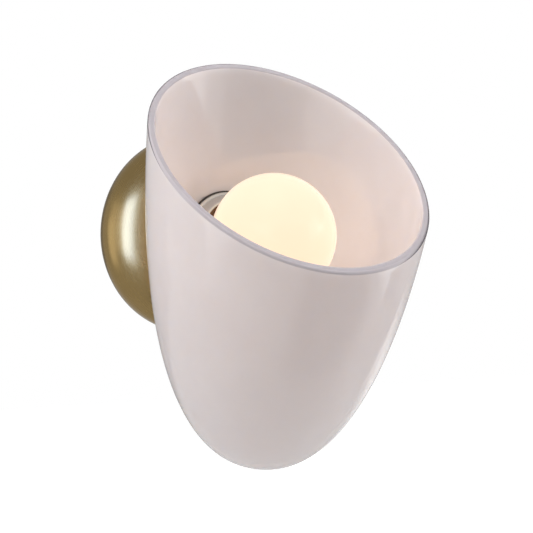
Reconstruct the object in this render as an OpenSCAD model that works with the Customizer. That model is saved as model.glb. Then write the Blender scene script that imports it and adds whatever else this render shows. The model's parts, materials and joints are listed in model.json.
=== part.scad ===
// Wall sconce: a slant-cut opal glass shade on a round brass wall canopy.
// The wall is the plane Y = 0, the room lies towards -Y and +Z is up.
// The origin is on the wall, on the axis of the arm that carries the lampholder and bulb.

/* [Canopy] */
// Diameter of the wall canopy
canopy_d = 139.7; // [130:0.1:160]
// How far the dome stands off the wall
canopy_depth = 30; // [26:0.5:36]
// Thickness of the spun sheet
canopy_wall = 1.2; // [0.8:0.1:1.6]
// Distance from the wall at which the dome is widest
canopy_rim = 3; // [2:0.1:4]
// Roundness of the dome: 2 is an ellipse, more is squarer
canopy_shape = 2.2; // [2:0.05:3]
// How far the rim is turned in against the wall
canopy_turn = 3; // [2:0.1:4]
// Diameter of the flat on top of the dome that the neck stands on
canopy_flat_d = 30; // [26:0.5:34]
// Distance of the two side screws from the wall
side_screw_w = 8; // [7:0.1:9]
// Diameter of the side screws
side_screw_d = 4; // [3:0.1:5]
// Length of the side screws
side_screw_len = 9; // [8:0.5:12]

/* [Mounting strap] */
// Distance between the two screws of the wall box
box_spacing = 88.9; // [84:0.1:92]
// Width of the strap
strap_width = 25; // [22:0.5:30]
// Thickness of the strap
strap_t = 1.6; // [1.2:0.1:2]
// Width of the two slots for the box screws
slot_width = 4.6; // [4:0.1:5.5]
// Length of the two slots, end to end
slot_len = 14; // [10:0.5:15]
// How far the middle of the strap is raised off the wall
strap_rise = 8; // [6:0.5:9]
// Half length of the raised middle
strap_raised = 24; // [22:0.5:26]
// Width of the bent end tabs
tab_width = 14; // [10:0.5:18]
// Height of the end tabs above the wall
tab_height = 12; // [11:0.5:14]
// Diameter of the hole in the middle of the strap
strap_hole_d = 10.5; // [8:0.5:12]

/* [Neck] */
// Length of the neck from the dome to the front of its flange
neck_len = 17; // [15:0.5:22]
// Wall of the neck round the lampholder
neck_wall = 1.9; // [1.5:0.1:2.5]
// How far the flange that the glass leans on stands out past the neck
flange_out = 5.5; // [4.5:0.1:6]
// Thickness of the flange
flange_t = 3; // [2:0.1:4]
// Thickness of the neck's floor
neck_floor = 3; // [2.5:0.1:4]
// Radius of the neck's rounded shoulder
neck_round = 4.5; // [3:0.1:5]
// Width of the hollow curve between neck and flange
neck_cove = 1.6; // [1:0.1:2]

/* [Nipple and nut] */
// Outer diameter of the threaded nipple
nipple_d = 9.7; // [9:0.1:10.5]
// Bore of the nipple
nipple_bore = 6.8; // [6:0.1:7]
// How far the nipple stands out behind the nut
nipple_tail = 2.5; // [1:0.1:4]
// Width of the hexagon nut across its flats
nut_af = 16; // [14:0.5:18]
// Thickness of the hexagon nut
nut_t = 4; // [3:0.1:5]
// Diameter of the lock washer
washer_d = 18; // [16:0.5:20]
// Thickness of the lock washer
washer_t = 0.8; // [0.6:0.1:1.2]

/* [Shade] */
// Largest radius of the glass outline
shade_r = 92.3; // [88:0.1:100]
// Length of the glass outline from its tip to its widest level
shade_len = 266.3; // [240:0.5:290]
// Distance from the arm's level on the shade axis down to the tip
shade_drop = 152.6; // [140:0.5:160]
// Exponent of the outline's length
shade_p = 2.39; // [2.2:0.01:2.6]
// Exponent of the outline's radius
shade_q = 2.275; // [2.1:0.005:2.4]
// Tilt of the shade axis, its top leaning into the room
shade_tilt = 13.5; // [10:0.5:16]
// Height on the shade axis at which the slanting cut crosses it
cut_height = 46.2; // [40:0.1:52]
// Angle of the slanting cut across the shade axis
cut_angle = 27.9; // [24:0.1:32]
// Thickness of the glass
glass_t = 4.5; // [3.5:0.1:5]
// Margin of the moulded flat past the shade ring
seat_margin = 3.1; // [2.5:0.1:4]
// How far the flat is pressed into the back wall
seat_inset = 0.4; // [0:0.1:1]

/* [Gaskets and shade ring] */
// How far the gasket behind the glass stays inside the neck's flange
outer_gasket_in = 0.5; // [0.2:0.1:1]
// How far the dark gasket shows round the shade ring
gasket_show = 1; // [0.5:0.1:1.2]
// Thickness of each gasket
gasket_t = 1; // [0.6:0.1:1.4]
// Width of the ring from its bore to the edge of its flange
ring_width = 5.8; // [5:0.1:6.5]
// Thickness of the ring's flange
ring_flange_t = 2; // [1.5:0.1:2.5]
// Wall of the ring's collar at the flange
collar_foot_wall = 3.9; // [3.4:0.1:4.5]
// Wall of the ring's collar at its lip
collar_lip_wall = 2.1; // [1.8:0.1:2.6]
// Length of the ring's collar
collar_len = 9.5; // [8:0.5:11]
// Number of grip grooves round the collar
grip_count = 90; // [60:1:100]
// Radius of the grip grooves
grip_r = 0.6; // [0.4:0.1:0.8]
// Depth of the grip grooves
grip_depth = 0.3; // [0.2:0.05:0.4]

/* [Lampholder] */
// Outer diameter of the lampholder body
holder_d = 44.4; // [43.5:0.1:44.8]
// Depth of the lampholder's mouth in front of the disc
mouth_depth = 17.5; // [15:0.5:19]
// Thickness of its rear wall
holder_floor = 4; // [3:0.1:5]
// Height of the wiring chamber behind the insulating disc
chamber_h = 6; // [5:0.1:7]
// Width of the ledge that the insulating disc lies on
disc_ledge = 1.4; // [1:0.1:1.8]
// Thickness of the insulating disc
disc_t = 2; // [1.5:0.1:2.5]
// Width and depth of the groove round the holder's front face
groove_size = 2; // [1:0.1:2.5]
// Pitch of the lamp thread
lamp_pitch = 3.6286; // [3.4:0.0001:3.8]
// Depth of the lamp thread
thread_depth = 0.8; // [0.6:0.05:0.9]
// Sheet thickness of the screw shell
shell_wall = 0.5; // [0.4:0.1:0.6]
// Thickness of the contact strips
contact_t = 0.6; // [0.4:0.1:0.8]
// Width of the centre contact
contact_width = 5; // [4:0.5:6]
// Distance of the two contact rivets from the axis
rivet_r = 9; // [8.5:0.1:9]
// Diameter of the contact rivets
rivet_d = 2.4; // [2:0.1:3]
// Length of the centre contact's fixed foot
contact_foot = 5; // [4.5:0.1:5.5]
// Height of the centre contact's tongue over the disc
contact_lift = 3.4; // [3:0.1:4]

/* [Bulb] */
// Diameter of the globe bulb
bulb_d = 80; // [76:0.5:84]
// Length of the bulb's straight neck in front of its cap
bulb_neck_len = 3.65; // [3:0.05:8]
// How far the bulb's neck stands out past its cap
bulb_neck_out = 1.05; // [0.8:0.05:1.8]
// Radius of the hollow curve from the neck to the globe
bulb_fillet = 14; // [10:0.5:18]
// Thickness of the bulb's glass
bulb_glass_t = 1; // [0.8:0.1:1.4]
// Core radius of the thread on the bulb's cap
cap_core_r = 12.35; // [12.2:0.05:12.4]
// Sheet thickness of the cap
cap_wall = 0.5; // [0.4:0.1:0.6]
// Length of the metal cap
cap_len = 18; // [17:0.5:19]
// Height of the contact button
button_h = 1; // [0.8:0.1:1.2]
// Diameter of the contact button
button_d = 9; // [8:0.5:10]
// Height of the black glass insulator
insulator_h = 2.3; // [2:0.1:3]
// Diameter of the glass stem inside the bulb
stem_d = 7; // [6:0.5:9]
// Length of the glass stem above the bulb's neck
stem_len = 24; // [20:0.5:28]

/* [Terminal block and leads] */
// Distance between two poles of the terminal block
pole_pitch = 8; // [7:0.1:9]
// Height of the terminal block along the strap
block_h = 12; // [10:0.5:13]
// Depth of the terminal block, away from the wall
block_depth = 11; // [10:0.5:12]
// Distance from the arm's level up to the terminal block
block_z = 9; // [8:0.5:10]
// Bore of the brass clamps
clamp_bore = 3.2; // [3:0.1:3.6]
// Wall of the brass clamps
clamp_wall = 0.9; // [0.6:0.1:1]
// Diameter of a lead with its insulation
lead_d = 2.2; // [1.8:0.1:2.4]
// Diameter of the clamping screws
clamp_screw_d = 3; // [2.5:0.1:3]
// Distance of the clamping screws from the middle of their pole
clamp_screw_z = 3; // [2.6:0.1:3.2]
// Diameter of the two screws that hold the block
block_screw_d = 2.5; // [2:0.1:3]
// Diameter of the ground screw
ground_screw_d = 4; // [3.5:0.1:5]
// Diameter of the ground screw's head
ground_head_d = 8; // [7:0.1:9]
// Thickness of the ground lugs
lug_t = 0.8; // [0.6:0.1:1]
// Distance of the ground screw below the arm's level
ground_z = 16; // [14:0.5:18]

/* [Clearances] */
// Gap round a screw, nipple or holder in its hole
fit_gap = 0.4; // [0.3:0.05:0.5]
// Gap between a moving piece and its neighbour
run_gap = 0.3; // [0.2:0.05:0.4]
// Gap round the lamp thread
thread_gap = 0.4; // [0.35:0.01:0.45]
// Gap round the lampholder in the glass
glass_gap = 0.8; // [0.5:0.1:1.5]
// Gap of a small screw or pin in its thread
pin_gap = 0.05; // [0.02:0.01:0.1]

/* [Hidden] */
$fn = 96;

// Distances from the wall, from the dome outwards
flange_w = canopy_depth + neck_len;
glass_back_w = flange_w + gasket_t;
glass_front_w = glass_back_w + glass_t;
ring_w = glass_front_w + gasket_t;
collar_w = ring_w + ring_flange_t;
lip_w = collar_w + collar_len;
holder_w = canopy_depth + neck_floor;
chamber_w = holder_w + holder_floor;
disc_w = chamber_w + chamber_h;
shell_w = disc_w + disc_t;
holder_front_w = shell_w + mouth_depth;
tongue_w = shell_w + contact_lift;
button_w = tongue_w + run_gap;
cap_w = button_w + button_h + insulator_h;
cap_end_w = cap_w + cap_len;
lug_w = canopy_depth - canopy_wall - washer_t - lug_t;
nut_w = lug_w - nut_t;
block_w = strap_rise + strap_t;

// Radii
canopy_r = canopy_d / 2;
canopy_in = canopy_r - canopy_wall;
holder_r = holder_d / 2;
shell_in = cap_core_r + thread_gap;
shell_out = shell_in + thread_depth + shell_wall;
mouth_r = shell_out + fit_gap;
disc_r = mouth_r + fit_gap;
chamber_r = disc_r - disc_ledge;
nipple_r = nipple_d / 2;
nipple_hole_r = nipple_r + fit_gap;
holder_bore_r = holder_r + fit_gap;
neck_r = holder_bore_r + neck_wall;
flange_r = neck_r + flange_out;
ring_r = holder_bore_r + ring_width;
collar_foot_r = holder_bore_r + collar_foot_wall;
collar_lip_r = holder_bore_r + collar_lip_wall;
groove_r = (mouth_r + holder_r) / 2;
seat_r = ring_r + seat_margin;
bulb_neck_r = cap_core_r + thread_depth + bulb_neck_out;

// The bulb's hollow curve leaves the neck fillet_dw behind the middle of the globe
fillet_r = bulb_fillet + bulb_neck_r;
fillet_dw = sqrt(pow(bulb_d / 2 + bulb_fillet, 2) - pow(fillet_r, 2));
fillet_a = atan2(fillet_dw, fillet_r);
globe_w = cap_end_w + bulb_neck_len + fillet_dw;

neck_in_cap = cap_core_r - cap_wall - run_gap;
clamp_r = clamp_bore / 2 + clamp_wall;

// Small shared sizes: screw slots and heads, broken edges, and how deep the side screws are sunk
slit = 0.8;
small_slit = slit / 2;
ground_head_h = 2.4;
block_head_h = 1.6;
block_head_out = 0.9;
rivet_head_out = 0.5;
edge = 0.3;
side_screw_sunk = 0.5;

// Steps used for curved outlines and threads, and the sizes of cutting solids
dome_steps = 24;
outline_steps = 60;
arc_steps = 24;
thread_sides = 20;
rows_per_turn = 6;
cut_size = 400;
through = 1;

// Height of the dome's superellipse above its widest level, so that its flat is at canopy_depth
function dome_share(r, edge) = pow(1 - pow(r / edge, canopy_shape), 1 / canopy_shape);
dome_h = (canopy_depth - canopy_rim) / dome_share(canopy_flat_d / 2, canopy_r);
dome_in_h = (canopy_depth - canopy_wall - canopy_rim) / dome_share(canopy_flat_d / 2, canopy_in);
function dome_r(w, edge, h) = edge * pow(1 - pow((w - canopy_rim) / h, canopy_shape), 1 / canopy_shape);
function dome_outline(edge, h) = [for (i = [0 : dome_steps])
  let (end = acos(pow(canopy_flat_d / 2 / edge, canopy_shape / 2)), a = end * i / dome_steps)
  [edge * pow(cos(a), 2 / canopy_shape), canopy_rim + h * pow(sin(a), 2 / canopy_shape)]];

// The strap's tabs stand just inside the dome
tab_z = sqrt(pow(dome_r(tab_height, canopy_in, dome_in_h), 2) - pow(tab_width / 2, 2)) - run_gap;
side_screw_z = dome_r(side_screw_w, canopy_r, dome_h) - side_screw_sunk;

// Radius of the glass at height h on its axis; the inner face has the same form, one thickness in
function glass_r(h, inset) =
  (shade_r - inset) * pow(1 - pow(1 - min(1, (h + shade_drop - inset) / (shade_len - inset)), shade_p),
  1 / shade_q);
glass_top = cut_height + shade_r * tan(cut_angle) + 5;
function glass_outline(inset) = concat([[0, -shade_drop + inset]], [for (i = [1 : outline_steps])
  let (h = -shade_drop + inset + (glass_top + shade_drop - inset) * pow(i / outline_steps, 2))
  [glass_r(h, inset), h]], [[0, glass_top]]);
// Distance from the shade axis back to the glass along the arm, by repeated substitution
function back_reach(s, n) = n == 0 ? s :
  back_reach(glass_r(-s * sin(shade_tilt), 0) / cos(shade_tilt), n - 1);
shade_axis_w = glass_back_w - seat_inset + back_reach(shade_r, 8);
// The blend round the flat runs at 45 degrees for this far; its inner cone is shifted by
// blend_shift, so the glass keeps its thickness there
blend = 12;
blend_shift = glass_t * sqrt(2) - glass_t;

// Screw thread: 1 on the crest and 0 in the root, the same for cap and shell
function thread_wave(a, w) = (1 + cos(360 * w / lamp_pitch - a)) / 2;
function fade(w, low, high, run) = max(0, min(1, (w - low) / run, (high - w) / run));

// Leads run through the nipple one above the other. Each route starts in a clamp of the terminal
// block, passes below the block into the nipple's tail and ends in a terminal behind the disc.
lead_r = lead_d / 2;
lead_z = lead_r + 0.15;
lead_sides = 8;
clamp_w = block_w + block_depth / 2;
lead_in_w = nut_w - nipple_tail - 2;
terminal_w = chamber_w + chamber_h / 2;
function lead_route(side) = [
  [side * pole_pitch, clamp_w, block_z + 4], [side * pole_pitch, clamp_w, block_z],
  [side * pole_pitch, clamp_w + 0.2, block_z - 2], [side * (pole_pitch - 0.8), clamp_w + 0.8, block_z - 4],
  [side * (pole_pitch - 3), clamp_w + 1.8, block_z - 6 + side * 0.6],
  [side * 3, lead_in_w - 1.2, side * lead_z * 1.1], [side * 1.4, lead_in_w + 0.2, side * lead_z],
  [side * 0.4, lead_in_w + 2, side * lead_z], [0, lead_in_w + 4, side * lead_z],
  [0, chamber_w - 1, side * lead_z], [0, chamber_w + 0.6, side * (lead_z + 0.2)],
  [0, chamber_w + 1.9, side * (lead_z + 1)], [0, terminal_w - 0.2, side * (lead_z + 2.2)],
  [0, terminal_w, side * (lead_z + 3.4)], [0, terminal_w, side * rivet_r]];
// The ground lead runs in one bend between the barrels of its two lugs
barrel_wall = 0.7;
barrel_r = lead_r + barrel_wall;
barrel_len = 5;
strap_barrel_w = block_w + barrel_r;
nut_barrel_w = lug_w + lug_t - barrel_r;
strap_barrel_z = -ground_z - ground_head_d / 2 - 1;
nut_barrel_z = -nut_af / sqrt(3) - 1.5;
ground_bend_r = (nut_barrel_w - strap_barrel_w) / 2;
ground_bend_z = strap_barrel_z - barrel_len;
ground_route = concat([[0, nut_barrel_w, nut_barrel_z - 1]],
  [for (a = [0 : 20 : 180]) [0, strap_barrel_w + ground_bend_r * (1 + cos(a)),
    ground_bend_z - ground_bend_r * sin(a)]],
  [[0, strap_barrel_w, strap_barrel_z - 1]]);

// Turned pieces: the outline gives radius and distance from the wall
module on_arm() rotate([90, 0, 0]) children();
module turned(points) on_arm() rotate_extrude() polygon(points);
module tube(outer, inner, w0, w1) on_arm() translate([0, 0, w0]) difference() {
  cylinder(h = w1 - w0, r = outer);
  translate([0, 0, -through]) cylinder(h = w1 - w0 + 2 * through, r = inner);
}
// Flat pieces: the outline gives height and distance from the wall, and is as wide as told
module side_plate(width) rotate([0, -90, 180]) translate([0, 0, -width / 2])
  linear_extrude(width) children();
// A round pin or hole along the arm, at x and z
module pin(x, z, r, w0, w1) translate([x, 0, z]) on_arm() translate([0, 0, w0])
  cylinder(h = w1 - w0, r = r);
// A round pin or hole along the height
module post(x, w, r, z0, z1) translate([x, -w, z0]) cylinder(h = z1 - z0, r = r);

function unit(v) = v / norm(v);
function place(p) = [p[0], -p[1], p[2]];
// One closed tube through the points of a route, each given as x, distance from the wall, z
module lead(route, r) {
  n = len(route);
  pts = [for (p = route) place(p)];
  dirs = [for (i = [0 : n - 1]) unit(pts[min(i + 1, n - 1)] - pts[max(i - 1, 0)])];
  rings = [for (i = [0 : n - 1])
    let (u = unit(cross(dirs[i], [1, 0, 0])), v = cross(dirs[i], u))
    for (k = [0 : lead_sides - 1])
      pts[i] + r * (u * cos(360 * k / lead_sides) + v * sin(360 * k / lead_sides))];
  sides = [for (i = [0 : n - 2], k = [0 : lead_sides - 1])
    let (a = i * lead_sides + k, b = i * lead_sides + (k + 1) % lead_sides)
    each [[a, a + lead_sides, b], [b, a + lead_sides, b + lead_sides]]];
  polyhedron(rings, concat(sides, [[for (k = [0 : lead_sides - 1]) k]],
    [[for (k = [lead_sides - 1 : -1 : 0]) (n - 1) * lead_sides + k]]));
}

// A rolled sheet-metal thread between two distances from the wall.
// A male thread fades to its core at the ends, a female one opens to its widest.
module rolled_thread(base_r, wall, w0, w1, male) {
  n = thread_sides;
  rows = ceil((w1 - w0) / lamp_pitch * rows_per_turn);
  run = lamp_pitch / 2;
  skin = [for (i = [0 : rows], k = [0 : n - 1])
    let (w = w0 + (w1 - w0) * i / rows, a = 360 * k / n, f = fade(w, w0, w1, run),
      d = thread_depth * (male ? thread_wave(a, w) * f : 1 - (1 - thread_wave(a, w)) * f))
    [(base_r + d), a, w]];
  back = male ? -wall : wall;
  outer = [for (p = skin) [(p[0] + max(back, 0)) * cos(p[1]), (p[0] + max(back, 0)) * sin(p[1]), p[2]]];
  inner = [for (p = skin) [(p[0] + min(back, 0)) * cos(p[1]), (p[0] + min(back, 0)) * sin(p[1]), p[2]]];
  m = (rows + 1) * n;
  wall_faces = [for (i = [0 : rows - 1], k = [0 : n - 1])
    let (a = i * n + k, b = i * n + (k + 1) % n)
    each [[a, a + n, b], [b, a + n, b + n], [m + a, m + b, m + a + n], [m + b, m + b + n, m + a + n]]];
  end_faces = [for (k = [0 : n - 1])
    let (a = k, b = (k + 1) % n, c = rows * n + k, d = rows * n + (k + 1) % n)
    each [[a, b, m + a], [b, m + b, m + a], [c, m + c, d], [d, m + c, m + d]]];
  on_arm() polyhedron(concat(outer, inner), concat(wall_faces, end_faces));
}

// Zinc-plated steel strip, raised in the middle and bent up at both ends
module mounting_strap() color("silver") difference() {
  intersection() {
    side_plate(strap_width) polygon(strap_outline());
    union() {
      translate([-strap_width / 2, -cut_size / 2, -tab_z + 2 * strap_t])
        cube([strap_width, cut_size, 2 * tab_z - 4 * strap_t]);
      translate([-tab_width / 2, -cut_size / 2, -tab_z]) cube([tab_width, cut_size, 2 * tab_z]);
    }
  }
  for (s = [-1, 1]) {
    slot(s * box_spacing / 2);
    side_post(s, side_screw_d / 2 + pin_gap, tab_z - 2 * strap_t, tab_z + through);
    pin(s * pole_pitch / 2, block_z + block_h / 2, block_screw_d / 2 + pin_gap, 0, canopy_depth);
  }
  pin(0, 0, strap_hole_d / 2, 0, canopy_depth);
  pin(0, -ground_z, ground_screw_d / 2 + pin_gap, 0, canopy_depth);
}
// A pin or hole of the side screws, above for s = 1 and below for s = -1
module side_post(s, r, z0, z1) post(0, side_screw_w, r, s > 0 ? z0 : -z1, s > 0 ? z1 : -z0);
bend = strap_t * tan(22.5);
function strap_half() = [[strap_raised, strap_rise], [strap_raised + strap_rise, 0], [tab_z, 0],
  [tab_z, tab_height], [tab_z - strap_t, tab_height], [tab_z - strap_t, strap_t],
  [strap_raised + strap_rise + bend, strap_t], [strap_raised + bend, strap_rise + strap_t]];
function strap_outline() = let (h = strap_half(), n = len(h))
  concat([for (i = [0 : n - 1]) h[i]], [for (i = [n - 1 : -1 : 0]) [-h[i][0], h[i][1]]]);
module slot(z) {
  run = (slot_len - slot_width) / 2;
  for (s = [-1, 1]) pin(0, z + s * run, slot_width / 2, -through, strap_t + through);
  translate([-slot_width / 2, -strap_t - through, z - run])
    cube([slot_width, strap_t + 2 * through, 2 * run]);
}

// Green ground screw with its slotted head
module ground_screw() color("green") difference() {
  union() {
    pin(0, -ground_z, ground_screw_d / 2, strap_t, block_w + lug_t);
    pin(0, -ground_z, ground_head_d / 2, block_w + lug_t, block_w + lug_t + ground_head_h);
  }
  translate([-ground_head_d, -block_w - lug_t - ground_head_h - through, -ground_z - slit / 2])
    cube([2 * ground_head_d, slit + through, slit]);
}

// White terminal block with a bore for each pole and a well for each screw
module terminal_block() color("white") difference() {
  translate([-1.5 * pole_pitch, -block_w - block_depth, block_z])
    cube([3 * pole_pitch, block_depth, block_h]);
  for (i = [-1 : 1]) {
    post(i * pole_pitch, clamp_w, clamp_r + pin_gap, block_z - through, block_z + block_h + through);
    for (s = [-1, 1])
      pin(i * pole_pitch, block_mid_z + s * clamp_screw_z, clamp_screw_d / 2 + fit_gap, clamp_w,
        canopy_depth);
  }
  for (s = [-1, 1]) {
    pin(s * pole_pitch / 2, block_mid_z, block_screw_d / 2 + pin_gap, 0, canopy_depth);
    pin(s * pole_pitch / 2, block_mid_z, block_head_r + pin_gap, block_head_w, canopy_depth);
  }
}
block_mid_z = block_z + block_h / 2;
block_top_w = block_w + block_depth;
block_head_r = block_screw_d / 2 + block_head_out;
block_head_w = clamp_w + clamp_r + fit_gap;

// Brass clamp tubes inside the block
clamp_inset = 0.5;
module terminal_clamps() color("gold") for (i = [-1 : 1]) difference() {
  post(i * pole_pitch, clamp_w, clamp_r, block_z + clamp_inset, block_z + block_h - clamp_inset);
  post(i * pole_pitch, clamp_w, clamp_bore / 2, block_z, block_z + block_h);
  for (s = [-1, 1])
    pin(i * pole_pitch, block_mid_z + s * clamp_screw_z, clamp_screw_d / 2 + pin_gap, clamp_w,
      canopy_depth);
}

// Two slotted clamping screws for each pole
module terminal_screws() color("silver") for (i = [-1 : 1], s = [-1, 1]) difference() {
  pin(i * pole_pitch, block_mid_z + s * clamp_screw_z, clamp_screw_d / 2, clamp_w + lead_r + 0.1,
    block_top_w - 1);
  translate([i * pole_pitch - clamp_screw_d, -block_top_w,
    block_mid_z + s * clamp_screw_z - small_slit / 2])
    cube([2 * clamp_screw_d, 2 * slit, small_slit]);
}

// Two screws that hold the block on the strap
module block_screws() color("silver") for (s = [-1, 1]) difference() {
  union() {
    pin(s * pole_pitch / 2, block_mid_z, block_screw_d / 2, strap_rise - 1, block_head_w);
    pin(s * pole_pitch / 2, block_mid_z, block_head_r, block_head_w, block_head_w + block_head_h);
  }
  translate([s * pole_pitch / 2 - block_head_r, -block_head_w - block_head_h - through,
    block_mid_z - small_slit / 2])
    cube([2 * block_head_r, small_slit + through, small_slit]);
}

// Spun brass dome with a turned-in rim, a hole for the nipple and two side holes
module canopy() color("darkgoldenrod") difference() {
  turned(concat(
    [[canopy_in - canopy_turn, 0], [canopy_r - canopy_rim / 2, 0],
      [canopy_r - canopy_rim * 0.15, canopy_rim * 0.15]],
    dome_outline(canopy_r, dome_h),
    [[0, canopy_depth], [0, canopy_depth - canopy_wall]],
    reversed(dome_outline(canopy_in, dome_in_h)),
    [[canopy_in - canopy_rim * 0.1, canopy_wall], [canopy_in - canopy_turn, canopy_wall]]));
  pin(0, 0, nipple_hole_r, 0, canopy_depth + through);
  for (s = [-1, 1])
    side_post(s, side_screw_d / 2 + fit_gap, tab_z, canopy_r);
}

// Slotted headless screws through the dome into the strap's tabs
module canopy_screws() color("goldenrod") for (s = [-1, 1]) difference() {
  side_post(s, side_screw_d / 2, side_screw_z - side_screw_len, side_screw_z);
  translate([-side_screw_d, -side_screw_w - slit / 2, s * side_screw_z - 1])
    cube([2 * side_screw_d, slit, 2]);
}

// Hollow threaded nipple that ties canopy, neck and lampholder together
module nipple() color("goldenrod")
  tube(nipple_r, nipple_bore / 2, nut_w - nipple_tail, chamber_w);

// Lock washer with notches round its edge
notch = 1.2;
module lock_washer() color("silver") difference() {
  tube(washer_d / 2, nipple_r + pin_gap, lug_w + lug_t, lug_w + lug_t + washer_t);
  for (a = [0 : 45 : 315]) rotate([0, a, 0])
    translate([washer_d / 2 - notch, -canopy_depth, -notch / 2]) cube([2 * notch, canopy_depth, notch]);
}

// Hexagon nut inside the canopy
module canopy_nut() color("goldenrod") difference() {
  on_arm() translate([0, 0, nut_w]) cylinder(h = nut_t, r = nut_af / sqrt(3), $fn = 6);
  pin(0, 0, nipple_r + pin_gap, 0, canopy_depth);
}

// Points of an arc about a centre given as radius and distance from the wall
function arc(r, w, size, a0, a1) = [for (i = [0 : arc_steps / 2])
  let (a = a0 + (a1 - a0) * i * 2 / arc_steps) [r + size * cos(a), w + size * sin(a)]];

// Turned brass neck: a cup with a rounded shoulder and a flange behind the glass
module neck() color("darkgoldenrod") turned(concat(
  [[nipple_hole_r, canopy_depth]],
  arc(neck_r - neck_round, canopy_depth + neck_round, neck_round, -90, 0),
  arc(neck_r + neck_cove, flange_w - flange_t - neck_cove, neck_cove, 180, 90),
  arc(flange_r - flange_t / 2, flange_w - flange_t / 2, flange_t / 2, -90, 90),
  [[holder_bore_r, flange_w], [holder_bore_r, holder_w], [nipple_hole_r, holder_w]]));

// Soft washer between the flange and the glass
module outer_gasket() color("dimgray")
  tube(flange_r - outer_gasket_in, holder_bore_r, flange_w, glass_back_w);

// Blown opal glass: tapered, tilted, cut at a slant, with a flat and a hole in its back.
// Where the wall curves away from the flat, a low boss carries it.
module shade() color("lavender") difference() {
  union() {
    difference() {
      in_shade() rotate_extrude() polygon(glass_outline(0));
      seat_cone(seat_r, glass_back_w, -1);
    }
    seat_cone(seat_r, glass_back_w, 1);
  }
  difference() {
    in_shade() rotate_extrude() polygon(glass_outline(glass_t));
    seat_cone(seat_r + blend_shift, glass_front_w, -1);
  }
  seat_cone(seat_r - blend_shift, glass_front_w, 1);
  slant_cut();
  pin(0, 0, holder_r + glass_gap, 0, shade_axis_w);
}
module in_shade() translate([0, -shade_axis_w, 0]) rotate([shade_tilt, 0, 0]) children();
module slant_cut() in_shade() translate([0, 0, cut_height]) rotate([cut_angle, 0, 0])
  translate([-cut_size / 2, -cut_size / 2, 0]) cube([cut_size, cut_size, cut_size]);
// A cone that starts at the seat radius and widens at 45 degrees, to the room or to the wall
module seat_cone(r, w, side) on_arm() translate([0, 0, w]) mirror([0, 0, side > 0 ? 0 : 1])
  cylinder(h = blend, r1 = r, r2 = r + blend);

// Dark gasket that shows as a thin line round the ring
module inner_gasket() color("black")
  tube(ring_r + gasket_show, holder_bore_r, glass_front_w, ring_w);

// Plated ring nut with a tapered, grooved collar
module shade_ring() color("lightgray") difference() {
  turned([[holder_bore_r, ring_w], [ring_r - edge, ring_w], [ring_r, ring_w + edge],
    [ring_r, collar_w - edge], [ring_r - edge, collar_w], [collar_foot_r, collar_w],
    [collar_lip_r, lip_w - edge], [collar_lip_r - edge, lip_w], [holder_bore_r, lip_w]]);
  for (k = [0 : grip_count - 1]) rotate([0, 360 * k / grip_count, 0])
    translate([collar_foot_r + grip_r - grip_depth, -collar_w, 0]) rotate([90, 0, 0])
      rotate([0, -collar_slope, 0]) cylinder(h = collar_len - 2, r = grip_r, $fn = 16);
}
collar_slope = atan((collar_foot_r - collar_lip_r) / collar_len);

// Brown moulded lampholder body with a groove round its mouth
chamfer = 1;
module holder_body() color("saddlebrown") turned(
  [[nipple_r + pin_gap, holder_w], [holder_r - chamfer, holder_w], [holder_r, holder_w + chamfer],
    [holder_r, holder_front_w - chamfer], [holder_r - chamfer, holder_front_w],
    [groove_r + groove_size, holder_front_w], [groove_r + groove_size / 2, holder_front_w - groove_size],
    [groove_r - groove_size / 2, holder_front_w - groove_size], [groove_r - groove_size, holder_front_w],
    [mouth_r + edge, holder_front_w], [mouth_r, holder_front_w - edge], [mouth_r, shell_w],
    [disc_r + pin_gap, shell_w], [disc_r + pin_gap, disc_w], [chamber_r, disc_w],
    [chamber_r, chamber_w], [nipple_r + pin_gap, chamber_w]]);

// Insulating disc that carries the contacts
module insulating_disc() color("tan") difference() {
  pin(0, 0, disc_r, disc_w, shell_w);
  for (s = [-1, 1]) pin(0, s * rivet_r, rivet_d / 2 + pin_gap, 0, shell_w + through);
}

// Threaded metal shell that takes the bulb's cap
module screw_shell() color("gold")
  rolled_thread(shell_in, shell_wall, shell_w + contact_t, holder_front_w - edge, false);

// Tab that joins the shell to its rivet
tab_half = 3;
module shell_tab() color("gold") difference() {
  translate([-tab_half, -shell_w - contact_t, rivet_r - tab_half])
    cube([2 * tab_half, contact_t, shell_in - rivet_r + tab_half]);
  pin(0, rivet_r, rivet_d / 2 + pin_gap, 0, globe_w);
}

// Riveted foot of the centre contact
foot_z = -rivet_r + contact_foot / 2;
module contact_foot_strip() color("gold") difference() {
  side_plate(contact_width) polygon([[foot_z - contact_foot, shell_w], [foot_z, shell_w],
    [foot_z, shell_w + contact_t], [foot_z - contact_foot, shell_w + contact_t]]);
  pin(0, -rivet_r, rivet_d / 2 + pin_gap, 0, globe_w);
}

// Springy tongue under the bulb's contact button; it bends at the end of the foot.
// Its top is flat for tongue_half to each side of the axis, and its tip is turned down.
tongue_half = 2.6;
tip_len = 1.2;
module contact_tongue() color("gold") side_plate(contact_width)
  polygon([[foot_z + pin_gap, shell_w + pin_gap], [foot_z + contact_t, shell_w + pin_gap],
    [-tongue_half + contact_t / 3, tongue_w - contact_t],
    [tongue_half - contact_t / 3, tongue_w - contact_t],
    [tongue_half + tip_len - contact_t / 2, tongue_w - 2 * contact_t],
    [tongue_half + tip_len, tongue_w - contact_t],
    [tongue_half, tongue_w], [-tongue_half, tongue_w], [foot_z + pin_gap, shell_w + contact_t]]);

// Rivets that carry the current through the disc
module contact_rivets() color("goldenrod") for (s = [-1, 1]) union() {
  pin(0, s * rivet_r, rivet_d / 2, disc_w, shell_w + contact_t);
  pin(0, s * rivet_r, rivet_d / 2 + rivet_head_out, shell_w + contact_t, shell_w + 2 * contact_t);
}

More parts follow.
